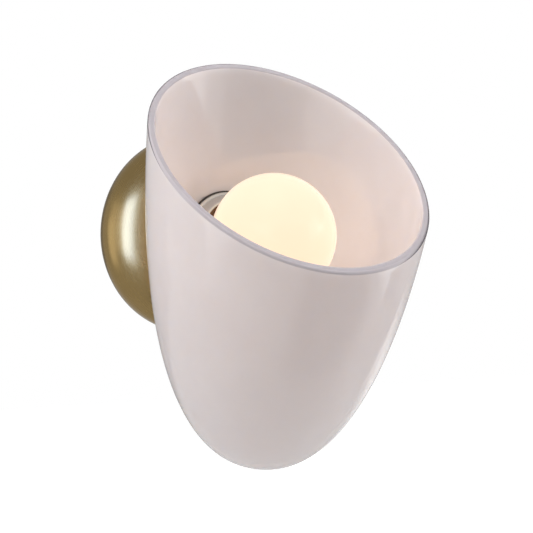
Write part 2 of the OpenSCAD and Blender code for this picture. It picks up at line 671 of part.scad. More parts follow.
// Brass blocks behind the disc that the leads end in
terminal_size = 5;
module holder_terminals() color("gold") for (s = [-1, 1]) difference() {
  translate([-terminal_size / 2, -disc_w, s * rivet_r - terminal_size / 2])
    cube([terminal_size, disc_w - terminal_w + terminal_size / 2, terminal_size]);
  post(0, terminal_w, lead_r + pin_gap, s > 0 ? 0 : -rivet_r - pin_gap, s > 0 ? rivet_r + pin_gap : 0);
}

module live_lead() color("black") lead(lead_route(1), lead_r);
module neutral_lead() color("white") lead(lead_route(-1), lead_r);
module ground_lead() color("green") lead(ground_route, lead_r);

// Two lugs of the ground lead: one under its screw, one under the canopy's nut
module ground_lugs() color("gold") {
  lug(0, -ground_z, ground_screw_d / 2 + pin_gap, ground_head_d / 2, block_w, strap_barrel_w,
    strap_barrel_z);
  lug(0, 0, nipple_r + pin_gap, nut_af / 2, lug_w, nut_barrel_w, nut_barrel_z);
}
module lug(x, z, hole, eye, w, barrel_w, barrel_z) difference() {
  union() {
    pin(x, z, eye, w, w + lug_t);
    translate([x - barrel_r, -w - lug_t, barrel_z]) cube([2 * barrel_r, lug_t, z - barrel_z]);
    post(x, barrel_w, barrel_r, barrel_z - barrel_len, barrel_z);
  }
  pin(x, z, hole, 0, canopy_depth);
  post(x, barrel_w, lead_r + pin_gap, barrel_z - barrel_len - through, barrel_z - 1 + pin_gap);
}

// Bulb outline: a hollow curve from the neck, then a ball, both set in by the given amount
function globe_outline(inset) = concat(
  [for (i = [0 : arc_steps]) let (a = fillet_a * i / arc_steps)
    [fillet_r - (bulb_fillet + inset) * cos(a), globe_w - fillet_dw + (bulb_fillet + inset) * sin(a)]],
  [for (i = [1 : 2 * arc_steps]) let (a = -fillet_a + (90 + fillet_a) * i / (2 * arc_steps))
    [max(0, (bulb_d / 2 - inset) * cos(a)), globe_w + (bulb_d / 2 - inset) * sin(a)]]);
function reversed(list) = [for (i = [len(list) - 1 : -1 : 0]) list[i]];

// Frosted opal globe, its neck let into the metal cap
module bulb_globe() color("lightyellow") turned(concat(
  [[neck_in_cap - bulb_glass_t, cap_end_w - cap_len / 2], [neck_in_cap, cap_end_w - cap_len / 2],
    [neck_in_cap, cap_end_w], [bulb_neck_r - edge, cap_end_w], [bulb_neck_r, cap_end_w + edge]],
  globe_outline(0), reversed(globe_outline(bulb_glass_t)),
  [[bulb_neck_r - bulb_glass_t, cap_end_w + bulb_glass_t],
    [neck_in_cap - bulb_glass_t, cap_end_w + bulb_glass_t]]));

// Rolled screw cap of the bulb
module bulb_cap() color("silver") rolled_thread(cap_core_r, cap_wall, cap_w, cap_end_w, true);

// Black glass between the cap and the contact button
module bulb_insulator() color("black")
  turned([[0, button_top_w], [button_d / 2 + 1, button_top_w], [cap_core_r, cap_w], [0, cap_w]]);

// Soldered contact button at the end of the cap
button_top_w = button_w + button_h;
module bulb_button() color("silver") turned([[0, button_w], [button_d / 2 - 1, button_w],
  [button_d / 2, button_top_w - edge], [button_d / 2, button_top_w], [0, button_top_w]]);

// Glass stem that carries the filament: a foot that fills the neck, then a rod with a broken edge
stem_top_w = cap_end_w + stem_len;
stem_foot_r = neck_in_cap - bulb_glass_t - pin_gap;
stem_foot_h = 4;
module bulb_stem() color("lightcyan") turned([[0, cap_end_w - stem_foot_h],
  [stem_foot_r, cap_end_w - stem_foot_h], [stem_foot_r, cap_end_w - stem_foot_h + 1],
  [stem_d / 2 + 1, cap_end_w], [stem_d / 2, cap_end_w + stem_foot_h],
  [stem_d / 2, stem_top_w - 2], [stem_d / 2 - 1, stem_top_w], [0, stem_top_w]]);

// Two wires from the stem up to the ends of the filament
filament_half = 13;
filament_r = 0.9;
support_wire_r = 0.4;
module bulb_support_wires() color("gray") for (s = [-1, 1])
  lead([[s * stem_d / 5, stem_top_w, 0], [s * stem_d / 5, stem_top_w + 1, 0],
    [s * stem_d / 2, stem_top_w + 5, 0], [s * (filament_half - 3), globe_w - 6, 0],
    [s * (filament_half - 1), globe_w - filament_r - 2, 0],
    [s * (filament_half - 1), globe_w - filament_r, 0]], support_wire_r);

module bulb_filament() color("orange") translate([0, -globe_w, 0]) rotate([0, 90, 0])
  cylinder(h = 2 * filament_half, r = filament_r, center = true);

mounting_strap();
ground_screw();
terminal_block();
terminal_clamps();
terminal_screws();
block_screws();
canopy();
canopy_screws();
nipple();
lock_washer();
canopy_nut();
neck();
outer_gasket();
shade();
inner_gasket();
shade_ring();
holder_body();
insulating_disc();
screw_shell();
shell_tab();
contact_foot_strip();
contact_tongue();
contact_rivets();
holder_terminals();
live_lead();
neutral_lead();
ground_lead();
ground_lugs();
bulb_globe();
bulb_cap();
bulb_insulator();
bulb_button();
bulb_stem();
bulb_support_wires();
bulb_filament();
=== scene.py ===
import json
import math

import bmesh
import bpy
from bpy.props import FloatProperty, FloatVectorProperty, IntProperty, PointerProperty
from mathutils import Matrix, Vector

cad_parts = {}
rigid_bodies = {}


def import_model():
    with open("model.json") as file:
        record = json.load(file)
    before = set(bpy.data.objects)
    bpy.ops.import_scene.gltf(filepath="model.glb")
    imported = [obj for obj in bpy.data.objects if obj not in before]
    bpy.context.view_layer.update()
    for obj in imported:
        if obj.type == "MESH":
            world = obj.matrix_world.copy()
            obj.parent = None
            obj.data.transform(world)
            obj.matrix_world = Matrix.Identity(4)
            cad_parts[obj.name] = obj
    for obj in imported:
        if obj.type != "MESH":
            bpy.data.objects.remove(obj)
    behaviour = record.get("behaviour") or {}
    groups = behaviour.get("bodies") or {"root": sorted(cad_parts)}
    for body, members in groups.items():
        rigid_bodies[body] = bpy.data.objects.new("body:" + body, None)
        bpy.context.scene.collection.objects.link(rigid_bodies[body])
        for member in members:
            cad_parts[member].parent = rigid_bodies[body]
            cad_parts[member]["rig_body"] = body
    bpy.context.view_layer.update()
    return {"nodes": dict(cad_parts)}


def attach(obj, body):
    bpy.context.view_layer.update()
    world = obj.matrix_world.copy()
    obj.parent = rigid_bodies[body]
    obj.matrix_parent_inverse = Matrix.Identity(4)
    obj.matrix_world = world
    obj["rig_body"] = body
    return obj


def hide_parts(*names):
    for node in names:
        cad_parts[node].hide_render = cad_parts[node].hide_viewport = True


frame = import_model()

bl_info = {
    "name": "Slant-cut glass wall sconce",
    "version": (1, 0, 0),
    "blender": (4, 5, 0),
    "location": "View3D > Sidebar > Sconce",
    "description": "Dresses the sconce's frame with blown, spun, turned and moulded pieces and their finishes",
    "category": "Add Mesh",
}

MM = 0.001
TURN = 2 * math.pi
UPRIGHT = math.pi / 2
ARM = Vector((0, 1, 0))
ORIGIN = Vector((0, 0, 0))


# Colours and node trees

def linear(hex_colour):
    """The linear RGBA of an sRGB hex colour such as "B59A66"."""
    out = []
    for i in (0, 2, 4):
        c = int(hex_colour[i:i + 2], 16) / 255
        out.append(c / 12.92 if c <= 0.04045 else ((c + 0.055) / 1.055) ** 2.4)
    return (*out, 1.0)


def add_node(tree, kind, inputs=None, **settings):
    """One node with its settings; an input takes a plain value or another node's socket."""
    node = tree.nodes.new(kind)
    for key, value in settings.items():
        setattr(node, key, value)
    for key, value in (inputs or {}).items():
        if isinstance(value, bpy.types.NodeSocket):
            tree.links.new(value, node.inputs[key])
        else:
            node.inputs[key].default_value = value
    return node


def clear_tree(owner):
    """The node tree of a material or a world, emptied."""
    owner.use_nodes = True
    owner.node_tree.nodes.clear()
    return owner.node_tree


def empty_material(name, **constants):
    """A material with a Principled shader and an output, and its node tree."""
    material = bpy.data.materials.new(name)
    tree = clear_tree(material)
    shader = add_node(tree, "ShaderNodeBsdfPrincipled",
                      {key.replace("_", " "): value for key, value in constants.items()})
    add_node(tree, "ShaderNodeOutputMaterial", {"Surface": shader.outputs[0]})
    return material, tree, shader


def two_tone(tree, shader, factor, dark, light, rough, bump_mm=0.0):
    """Drives a shader's colour, roughness and bump from one pattern that runs from 0 to 1."""
    colour = add_node(tree, "ShaderNodeMix", {0: factor, 6: linear(dark), 7: linear(light)}, data_type="RGBA")
    tree.links.new(colour.outputs[2], shader.inputs["Base Color"])
    spread = add_node(tree, "ShaderNodeMapRange", {
        "Value": factor, "From Min": 0.3, "From Max": 0.7, "To Min": rough[0], "To Max": rough[1]})
    tree.links.new(spread.outputs[0], shader.inputs["Roughness"])
    if bump_mm:
        bump = add_node(tree, "ShaderNodeBump", {"Height": factor, "Distance": bump_mm * MM, "Strength": 1.0})
        tree.links.new(bump.outputs[0], shader.inputs["Normal"])


def white_seen(tree):
    """1 for a ray from the camera, off metal or through glass, and 0 for the light that falls on things."""
    path = add_node(tree, "ShaderNodeLightPath")
    seen = add_node(tree, "ShaderNodeMath", {0: path.outputs["Is Camera Ray"], 1: path.outputs["Is Glossy Ray"]},
                    operation="MAXIMUM")
    return add_node(tree, "ShaderNodeMath", {0: seen.outputs[0], 1: path.outputs["Is Transmission Ray"]},
                    operation="MAXIMUM").outputs[0]


def grained(name, dark, light, grain_mm, rough, bump_mm=0.0, stretch=(1, 1, 1), **constants):
    """A surface whose colour and roughness drift between two values in grains of grain_mm.
    stretch squeezes the grain along X, Y or Z, as drawing and brushing do."""
    material, tree, shader = empty_material(name, **constants)
    place = add_node(tree, "ShaderNodeTexCoord")
    mapped = add_node(tree, "ShaderNodeMapping", {"Vector": place.outputs["Object"], "Scale": stretch})
    noise = add_node(tree, "ShaderNodeTexNoise", {
        "Vector": mapped.outputs[0], "Scale": 1 / (grain_mm * MM), "Detail": 4.0, "Roughness": 0.6})
    two_tone(tree, shader, noise.outputs["Fac"], dark, light, rough, bump_mm)
    return material


def lathe_marks(name, dark, light, ring_mm, rough, bump_mm, **constants):
    """Metal turned or spun round the arm's axis: fine rings that change with radius and depth,
    and a slow drift of tone round them."""
    material, tree, shader = empty_material(name, **constants)
    place = add_node(tree, "ShaderNodeTexCoord")
    xyz = add_node(tree, "ShaderNodeSeparateXYZ", {"Vector": place.outputs["Object"]})
    square = add_node(tree, "ShaderNodeMath", {0: xyz.outputs[0], 1: xyz.outputs[0]}, operation="MULTIPLY")
    reach = add_node(tree, "ShaderNodeMath", {0: xyz.outputs[2], 1: xyz.outputs[2], 2: square.outputs[0]},
                     operation="MULTIPLY_ADD")
    radius = add_node(tree, "ShaderNodeMath", {0: reach.outputs[0]}, operation="SQRT")
    rings = add_node(tree, "ShaderNodeCombineXYZ", {0: radius.outputs[0], 1: xyz.outputs[1]})
    marks = add_node(tree, "ShaderNodeTexNoise", {
        "Vector": rings.outputs[0], "Scale": 1 / (ring_mm * MM), "Detail": 3.0, "Roughness": 0.7})
    drift = add_node(tree, "ShaderNodeTexNoise", {
        "Vector": place.outputs["Object"], "Scale": 1 / (14 * MM), "Detail": 2.0})
    both = add_node(tree, "ShaderNodeMix", {0: 0.45, 2: marks.outputs["Fac"], 3: drift.outputs["Fac"]})
    two_tone(tree, shader, both.outputs[0], dark, light, rough, bump_mm)
    return material


def opal_glass():
    """Opal glass, blown: a milky body with a fire-polished skin. The eye sees soft, slightly
    mauve white with sharp reflections, and light that sinks in and comes out again."""
    return grained("opal_glass_blown", "D7D1D3", "DDD8DA", 35, (0.03, 0.05), IOR=1.52, Specular_IOR_Level=0.75,
                   Subsurface_Weight=1.0, Subsurface_Radius=(1.0, 0.9, 0.8), Subsurface_Scale=11 * MM)


def cut_rim_glass():
    """Opal glass, ground and polished: the cut edge looks into the wall, so it is greyer and
    more violet than the skin."""
    return grained("opal_glass_cut_edge", "B2ABB0", "BEB7BB", 6, (0.05, 0.1), IOR=1.52, Subsurface_Weight=1.0,
                   Subsurface_Radius=(1.0, 0.92, 0.85), Subsurface_Scale=2 * MM)


def ground_arris_painted_shade_glass():
    """Opal glass, its outer arris ground. Its colour is painted darker, to a fine grey-violet line round the mouth,
    where the arris turns away from the eye: painted shade for the deeper glass seen there."""
    material, tree, shader = empty_material(
        "opal_glass_ground_arris", IOR=1.52, Subsurface_Weight=1.0, Subsurface_Radius=(1.0, 0.92, 0.88),
        Subsurface_Scale=1.5 * MM)
    # the Facing weight paints the base colour dark where the arris is seen edge-on: painted shade
    layer = add_node(tree, "ShaderNodeLayerWeight", {"Blend": 0.5})
    depth = add_node(tree, "ShaderNodeMapRange", {
        "Value": layer.outputs["Facing"], "From Min": 0.38, "From Max": 0.62})
    two_tone(tree, shader, depth.outputs[0], "C6BFC3", "4E464F", (0.1, 0.16))
    return material


def spun_brass():
    """Brass, spun on a former and satin finished under lacquer: warm brown-gold with soft streaks
    of light and very fine rings."""
    return lathe_marks("satin_brass_spun", "957C4A", "A88D59", 0.5, (0.22, 0.31), 0.005,
                       Metallic=1.0, Coat_Weight=0.5, Coat_Roughness=0.18)


def lamp_glass(glow, strength):
    """Soda-lime bulb glass, white coated inside and lit: even warm light under a smooth skin."""
    material, tree, shader = empty_material("lamp_glass_coated", IOR=1.5, Coat_Weight=1.0,
                                            Coat_Roughness=0.06, Coat_Tint=(1.0, 0.955, 0.93, 1.0))
    place = add_node(tree, "ShaderNodeTexCoord")
    noise = add_node(tree, "ShaderNodeTexNoise", {"Vector": place.outputs["Object"], "Scale": 1 / (18 * MM)})
    two_tone(tree, shader, noise.outputs["Fac"], "6F6B68", "77736F", (0.3, 0.36))
    shader.inputs["Emission Color"].default_value = (*glow, 1.0)
    shader.inputs["Emission Strength"].default_value = strength
    return material


FINISHES = {
    "satin_brass_spun": spun_brass,
    # electroplated nickel over a blasted and finely serrated steel ring: grey with a warm cast
    "nickel_plate_satin": lambda: grained("nickel_plate_satin", "D3D0CC", "F6F4F0", 0.5, (0.5, 0.66), 0.05,
                                          Metallic=1.0),
    # nickel-plated brass sheet, rolled: brighter and smoother
    "nickel_cap_rolled": lambda: grained("nickel_cap_rolled", "AFABA4", "C9C5BD", 2.5, (0.18, 0.3), 0.004,
                                         Metallic=1.0),
    # zinc-plated mild steel, pressed: pale blue-grey with a faint crystal mottle
    "zinc_steel_pressed": lambda: grained("zinc_steel_pressed", "9EA2A6", "C3C6C8", 1.8, (0.3, 0.48), 0.01,
                                          Metallic=1.0),
    # yellow brass strip, rolled and stamped: drawn lines along its length
    "brass_strip_stamped": lambda: grained("brass_strip_stamped", "B8964F", "D2B36C", 1.2, (0.22, 0.38), 0.006,
                                           stretch=(1, 1, 0.2), Metallic=1.0),
    # phenolic moulding: dark brown, glossy, with a faint flow mottle
    "phenolic_moulded": lambda: grained("phenolic_moulded", "4A2C14", "6E4520", 3, (0.18, 0.3), 0.01, IOR=1.6),
    # vulcanised fibre board, punched: dull tan with short fibres
    "fibre_board_punched": lambda: grained("fibre_board_punched", "8E6F48", "B08F63", 0.8, (0.7, 0.85), 0.03,
                                           stretch=(1, 1, 0.25)),
    # nitrile rubber sheet, cut: nearly black and dull
    "rubber_sheet_cut": lambda: grained("rubber_sheet_cut", "3A3531", "4C4640", 0.5, (0.6, 0.8), 0.02),
    # polyamide, injection moulded: milky white with a fine spark-eroded grain
    "polyamide_moulded": lambda: grained("polyamide_moulded", "DEDBD2", "ECEAE3", 0.7, (0.4, 0.55), 0.02,
                                         IOR=1.53, Subsurface_Weight=0.1, Subsurface_Scale=1 * MM),
    # steel screw with green chromate lacquer
    "green_lacquer_steel": lambda: grained("green_lacquer_steel", "1F6B36", "2E8A49", 1.5, (0.25, 0.4), 0.01,
                                           IOR=1.5, Coat_Weight=0.4, Coat_Roughness=0.15),
    # PVC wire covering, extruded: a soft sheen and faint die lines
    "pvc_black_extruded": lambda: grained("pvc_black_extruded", "141414", "222222", 0.8, (0.35, 0.5), 0.01,
                                          stretch=(1, 0.1, 1), IOR=1.53),
    "pvc_white_extruded": lambda: grained("pvc_white_extruded", "D9D8D2", "E8E7E2", 0.8, (0.35, 0.5), 0.01,
                                          stretch=(1, 0.1, 1), IOR=1.53),
    "pvc_green_extruded": lambda: grained("pvc_green_extruded", "1E6A33", "2C8345", 0.8, (0.35, 0.5), 0.01,
                                          stretch=(1, 0.1, 1), IOR=1.53),
    # black glass, fused between cap and contact: deep gloss
    "cap_glass_fused": lambda: grained("cap_glass_fused", "0C0C10", "1A1A20", 2, (0.06, 0.14), 0.01, IOR=1.6),
    # tin solder drop: soft grey metal, slightly uneven
    "tin_solder_drop": lambda: grained("tin_solder_drop", "A6A5A2", "C4C3C0", 1.5, (0.25, 0.4), 0.04, Metallic=1.0),
    # lead-free clear glass, drawn rod: clear with faint cords
    "stem_glass_drawn": lambda: grained("stem_glass_drawn", "E8EFEF", "F4F8F8", 3, (0.02, 0.05), 0.01, IOR=1.52,
                                        Transmission_Weight=0.9),
    # molybdenum and tungsten wire, drawn: dark grey metal
    "tungsten_wire_drawn": lambda: grained("tungsten_wire_drawn", "55524F", "76726E", 0.3, (0.3, 0.45),
                                           Metallic=1.0),
}


def finish(name):
    """The named finish, made once."""
    return bpy.data.materials.get(name) or FINISHES[name]()


# Modelling by hand, in edit mode

def deselect():
    bpy.ops.object.select_all(action="DESELECT")


def activate(piece):
    """Selects one piece alone and makes it the active object."""
    deselect()
    piece.select_set(True)
    bpy.context.view_layer.objects.active = piece


def add_object(name, data=None):
    """An object that holds the given data, linked to the scene."""
    thing = bpy.data.objects.new(name, data)
    bpy.context.scene.collection.objects.link(thing)
    return thing


def apply_modifier(piece, kind, **settings):
    """Adds a modifier to the active piece, sets it and applies it."""
    bpy.ops.object.modifier_add(type=kind)
    modifier = piece.modifiers[-1]
    for key, value in settings.items():
        setattr(modifier, key, value)
    bpy.ops.object.modifier_apply(modifier=modifier.name)


def place_point(spot):
    """Adds one vertex to the mesh in edit mode: a small plane, merged at its centre."""
    bpy.ops.mesh.select_all(action="DESELECT")
    bpy.ops.mesh.primitive_plane_add(size=MM, location=(0, 0, 0))
    bpy.ops.mesh.merge(type="CENTER")
    bpy.ops.transform.translate(value=spot)


def new_piece(name):
    """An empty mesh object at the origin, in edit mode."""
    deselect()
    bpy.ops.mesh.primitive_plane_add(size=MM, location=(0, 0, 0))
    piece = bpy.context.object
    piece.name = piece.data.name = name
    bpy.ops.object.mode_set(mode="EDIT")
    bpy.ops.mesh.delete(type="VERT")
    return piece


def draw(points):
    """Draws a chain of edges by extruding one vertex from point to point."""
    place_point(points[0])
    for before, after in zip(points, points[1:]):
        bpy.ops.mesh.extrude_region_move(TRANSFORM_OT_translate={"value": after - before})


def pick(piece, test, kind="verts"):
    """Selects, and nothing else, the vertices, edges or faces whose place and normal pass the test."""
    bpy.ops.mesh.select_mode(type={"verts": "VERT", "edges": "EDGE", "faces": "FACE"}[kind])
    bpy.ops.mesh.select_all(action="DESELECT")
    mesh = bmesh.from_edit_mesh(piece.data)
    for item in getattr(mesh, kind):
        if not item.hide and test(item):
            item.select_set(True)
    mesh.select_flush_mode()
    bmesh.update_edit_mesh(piece.data)


def turn(points, steps=128, centre=ORIGIN, axis=ARM, closed=True):
    """Draws an outline and spins it a full turn. A closed outline ends where it starts."""
    draw([*points, points[0]] if closed else points)
    bpy.ops.mesh.select_linked()
    bpy.ops.mesh.spin(steps=steps, angle=TURN, center=centre, axis=axis)
    bpy.ops.mesh.select_linked()
    bpy.ops.mesh.remove_doubles(threshold=0.002 * MM)


def close_up(piece):
    """Merges doubles and turns all faces outwards, then leaves edit mode."""
    bpy.ops.mesh.select_all(action="SELECT")
    bpy.ops.mesh.remove_doubles(threshold=0.002 * MM)
    bpy.ops.mesh.normals_make_consistent(inside=False)
    bpy.ops.object.mode_set(mode="OBJECT")
    return piece


def turned(name, points, steps, closed=True):
    """A new piece, turned round the arm's axis."""
    piece = new_piece(name)
    turn(points, steps, closed=closed)
    return close_up(piece)


def dress(piece, materials, body, nodes, angle=35):
    """Shades a finished piece, gives it its materials and ties it to the frame."""
    activate(piece)
    bpy.ops.object.shade_smooth_by_angle(angle=math.radians(angle))
    if not len(piece.data.materials):
        for material in materials:
            piece.data.materials.append(material)
    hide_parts(*nodes)
    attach(piece, body)
    return piece


def at(r, w):
    """A point of a turned outline: radius and distance from the wall, in millimetres."""
    return Vector((r * MM, -w * MM, 0))


def arc(r, w, size, a0, a1, steps=8):
    """Points of an arc in a turned outline, angles in degrees."""
    out = []
    for i in range(steps + 1):
        a = math.radians(a0 + (a1 - a0) * i / steps)
        out.append(at(r + size * math.cos(a), w + size * math.sin(a)))
    return out


# Sizes a user would change

class GlassSettings(bpy.types.PropertyGroup):
    radius: FloatProperty(name="Outline radius", description="Largest radius of the glass outline",
                          default=92.28 * MM, unit="LENGTH")
    length: FloatProperty(name="Outline length", description="Length of the outline from its tip to its widest level",
                          default=266.3 * MM, unit="LENGTH")
    drop: FloatProperty(name="Drop", description="From the arm's level down to the tip, along the shade's axis",
                        default=152.57 * MM, unit="LENGTH")
    wall: FloatProperty(name="Wall", description="Thickness of the glass", default=4.5 * MM, unit="LENGTH")
    tilt: FloatProperty(name="Tilt", description="How far the shade's top leans into the room",
                        default=math.radians(13.5), subtype="ANGLE")
    cut_height: FloatProperty(name="Cut height", description="Where the cut crosses the shade's axis",
                              default=46.2 * MM, unit="LENGTH")
    cut_angle: FloatProperty(name="Cut angle", description="Slant of the cut across the shade's axis",
                             default=math.radians(27.9), subtype="ANGLE")


class MetalSettings(bpy.types.PropertyGroup):
    canopy_diameter: FloatProperty(name="Canopy diameter", description="Diameter of the wall canopy",
                                   default=139.7 * MM, unit="LENGTH")
    canopy_depth: FloatProperty(name="Canopy depth", description="How far the dome stands off the wall",
                                default=30 * MM, unit="LENGTH")
    grip_count: IntProperty(name="Grip grooves", description="Number of grooves round the ring", default=90, min=24)


class LampSettings(bpy.types.PropertyGroup):
    diameter: FloatProperty(name="Bulb diameter", description="Diameter of the globe bulb",
                            default=80 * MM, unit="LENGTH")
    glow: FloatVectorProperty(name="Glow", description="Colour of the bulb's light", size=3, subtype="COLOR",
                              default=(1.0, 0.79, 0.56))
    strength: FloatProperty(name="Glow strength", description="Brightness of the lit glass", default=0.95, min=0)


class SconceSettings(bpy.types.PropertyGroup):
    glass: PointerProperty(type=GlassSettings)
    metal: PointerProperty(type=MetalSettings)
    lamp: PointerProperty(type=LampSettings)


# Places shared by several pieces, as distances from the wall and radii in millimetres

GLASS_BACK, GLASS_FRONT, RING_BACK, COLLAR, LIP = 48.0, 52.5, 53.5, 55.5, 65.0
FLANGE, HOLDER_BACK, CHAMBER, DISC, SHELL, HOLDER_FRONT = 47.0, 33.0, 37.0, 43.0, 45.0, 62.5
BUTTON, BUTTON_TOP, CAP, CAP_END, GLOBE = 48.7, 49.7, 52.0, 70.0, 119.70
SHADE_AXIS = 132.68
HOLDER_R, BORE_R, MOUTH_R, NIPPLE_HOLE_R, GLASS_HOLE_R = 22.2, 22.6, 14.45, 5.25, 23.0
LEAD_R = 1.09

# The lamp thread's pitch and depth, and the thickness of the sheet it is rolled in
PITCH, THREAD_DEPTH, SHEET = 3.6286, 0.8, 0.5

# The powers of the curve that the glass follows from its tip to its widest level
TIP_POWER, SIDE_POWER = 2.39, 2.275


class SCONCE_OT_glass(bpy.types.Operator):
    """Blows the shade: spins its walls, cuts the slanting rim, presses the flat for the arm and drills its hole"""
    bl_idname = "sconce.glass"
    bl_label = "Glass shade"

    def execute(self, context):
        s = context.scene.sconce.glass
        lean = Vector((0, -math.sin(s.tilt), math.cos(s.tilt)))
        foot = Vector((0, -SHADE_AXIS * MM, 0))
        cut = s.tilt + s.cut_angle
        cut_normal = Vector((0, -math.sin(cut), math.cos(cut)))
        spare = 5 * MM
        top = s.cut_height + s.radius * math.tan(s.cut_angle) + spare

        def radius(h, inset):
            """Radius of the outer or inner wall at a height on the shade's axis."""
            share = min(1, max(0, (h + s.drop - inset) / (s.length - inset)))
            return (s.radius - inset) * (1 - (1 - share) ** TIP_POWER) ** (1 / SIDE_POWER)

        def outline(inset, rows=84):
            """A wall's profile from the tip to past the cut, with its rows closer together at the tip."""
            heights = [inset - s.drop + (top + s.drop - inset) * (i / rows) ** 1.8 for i in range(rows + 1)]
            return [foot + lean * h + Vector((radius(h, inset), 0, 0)) for h in heights]

        def cut_slanting(inset, halvings=30):
            """Draws every meridian down along the wall until its top lies in the cut, which is found by
            halving. The rows below share the change, so the rim is one even row of edges."""
            low = inset - s.drop
            mesh = bmesh.from_edit_mesh(piece.data)
            for v in mesh.verts:
                out = v.co - foot
                height = out.dot(lean)
                out -= lean * height
                if v.hide or out.length < 0.001 * MM:
                    continue
                out.normalize()
                slope = out.dot(cut_normal) / lean.dot(cut_normal)
                below, above = low, top
                for _ in range(halvings):
                    middle = (below + above) / 2
                    if middle - s.cut_height + radius(middle, inset) * slope > 0:
                        above = middle
                    else:
                        below = middle
                height = low + (below - low) * (height - low) / (top - low)
                v.co = foot + lean * height + out * radius(height, inset)
            bmesh.update_edit_mesh(piece.data)

        def behind(v):
            """Distance of a vertex from the arm's axis, or far off if it is in front of the shade's axis."""
            return math.hypot(v.co.x, v.co.z) if v.co.y > foot.y else 1.0

        cut_face, arris = 1, 2
        piece = new_piece("opal_shade")
        for material in (opal_glass(), cut_rim_glass(), ground_arris_painted_shade_glass()):
            piece.data.materials.append(material)
        fade = 22 * MM
        for inset, flat, flat_r in ((0, GLASS_BACK, 30 * MM), (s.wall, GLASS_FRONT, 29 * MM)):
            turn(outline(inset), 176, foot, lean, closed=False)
            cut_slanting(inset)
            # press the flat: the wall round the arm's hole is drawn to one plane, and fades into the curve
            pick(piece, lambda v: behind(v) < flat_r)
            bpy.ops.transform.resize(
                value=(1, 0, 1), center_override=(0, -flat * MM, 0), use_proportional_edit=True,
                proportional_edit_falloff="SMOOTH", proportional_size=fade)
            bpy.ops.mesh.select_all(action="SELECT")
            bpy.ops.mesh.normals_make_consistent(inside=inset > 0)
            bpy.ops.mesh.hide(unselected=False)
        bpy.ops.mesh.reveal(select=True)
        bpy.ops.mesh.select_mode(type="EDGE")
        bpy.ops.mesh.select_all(action="DESELECT")
        bpy.ops.mesh.select_non_manifold()
        bpy.ops.mesh.bridge_edge_loops()
        bpy.ops.mesh.select_mode(type="FACE")
        piece.active_material_index = cut_face
        bpy.ops.object.material_slot_assign()
        close_up(piece)
        # drill the hole for the lampholder
        deselect()
        bpy.ops.mesh.primitive_cylinder_add(vertices=128, radius=GLASS_HOLE_R * MM, depth=30 * MM,
                                            location=(0, -50 * MM, 0), rotation=(UPRIGHT, 0, 0))
        drill = context.object
        activate(piece)
        apply_modifier(piece, "BOOLEAN", object=drill, solver="EXACT")
        bpy.data.objects.remove(drill)
        # break the rim's two edges
        bpy.ops.object.mode_set(mode="EDIT")
        rim = foot + lean * s.cut_height

        def outer(v):
            """Whether a vertex lies outside the middle of the wall."""
            height = (v.co - foot).dot(lean)
            return (v.co - foot - lean * height).length > radius(height, s.wall / 2)

        def rim_edge(e):
            """Whether an edge is one of the two sharp ones that bound the cut."""
            in_cut = all(abs((v.co - rim).dot(cut_normal)) < 0.01 * MM for v in e.verts)
            return in_cut and e.calc_face_angle(0) > math.radians(30)

        # the outer arris takes the glass whose colour is painted darker where it turns from the eye: painted shade
        pick(piece, lambda e: rim_edge(e) and outer(e.verts[0]), "edges")
        bpy.ops.mesh.bevel(offset=1.5 * MM, segments=6, material=arris)
        pick(piece, lambda e: rim_edge(e) and not outer(e.verts[0]), "edges")
        bpy.ops.mesh.bevel(offset=0.5 * MM, segments=3, material=cut_face)
        bpy.ops.mesh.select_mode(type="VERT")
        close_up(piece)
        dress(piece, [], "fixture", ["shade"], angle=40)
        return {"FINISHED"}


class SCONCE_OT_canopy(bpy.types.Operator):
    """Spins the wall canopy, with its turned-in rim and the hole in its flat"""
    bl_idname = "sconce.canopy"
    bl_label = "Wall canopy"

    def execute(self, context):
        s = context.scene.sconce.metal
        wall, rim, shape, flat = 1.2, 3.0, 2.2, 15.0
        outer, depth = s.canopy_diameter / 2 / MM, s.canopy_depth / MM

        def dome(edge, height, steps=40):
            """One face of the dome, from the top of its rim to the edge of its flat."""
            high = (height - rim) / (1 - (flat / edge) ** shape) ** (1 / shape)
            end = math.acos((flat / edge) ** (shape / 2))
            return [at(edge * math.cos(end * i / steps) ** (2 / shape),
                       rim + high * math.sin(end * i / steps) ** (2 / shape)) for i in range(steps + 1)]

        edge_in = outer - 5
        piece = turned("brass_canopy", [
            at(edge_in, 0), at(outer - 1.5, 0), at(outer - 0.75, 0.2), at(outer - 0.2, 1.1), *dome(outer, depth),
            at(NIPPLE_HOLE_R + 0.05, depth), at(NIPPLE_HOLE_R, depth - 0.1), at(NIPPLE_HOLE_R, depth - wall),
            *dome(outer - wall, depth - wall)[::-1],
            at(outer - wall - 0.3, wall + 0.4), at(outer - wall - 0.8, wall), at(edge_in, wall)], 160)
        dress(piece, [finish("satin_brass_spun")], "fixture", ["canopy"])
        return {"FINISHED"}


class SCONCE_OT_neck(bpy.types.Operator):
    """Turns the neck and the flange behind the glass"""
    bl_idname = "sconce.neck"
    bl_label = "Neck"

    def execute(self, context):
        depth, neck_r, shoulder, cove, flange_r, half = 30.0, 24.5, 4.5, 1.6, 30.0, 1.5
        piece = turned("brass_neck", [
            at(NIPPLE_HOLE_R, depth), *arc(neck_r - shoulder, depth + shoulder, shoulder, -90, 0, 14),
            *arc(neck_r + cove, FLANGE - 2 * half - cove, cove, 180, 90),
            *arc(flange_r - half, FLANGE - half, half, -90, 90, 12),
            at(BORE_R + 0.3, FLANGE), at(BORE_R, FLANGE - 0.3), at(BORE_R, HOLDER_BACK),
            at(NIPPLE_HOLE_R, HOLDER_BACK)], 144)
        dress(piece, [finish("satin_brass_spun")], "fixture", ["neck"])
        return {"FINISHED"}


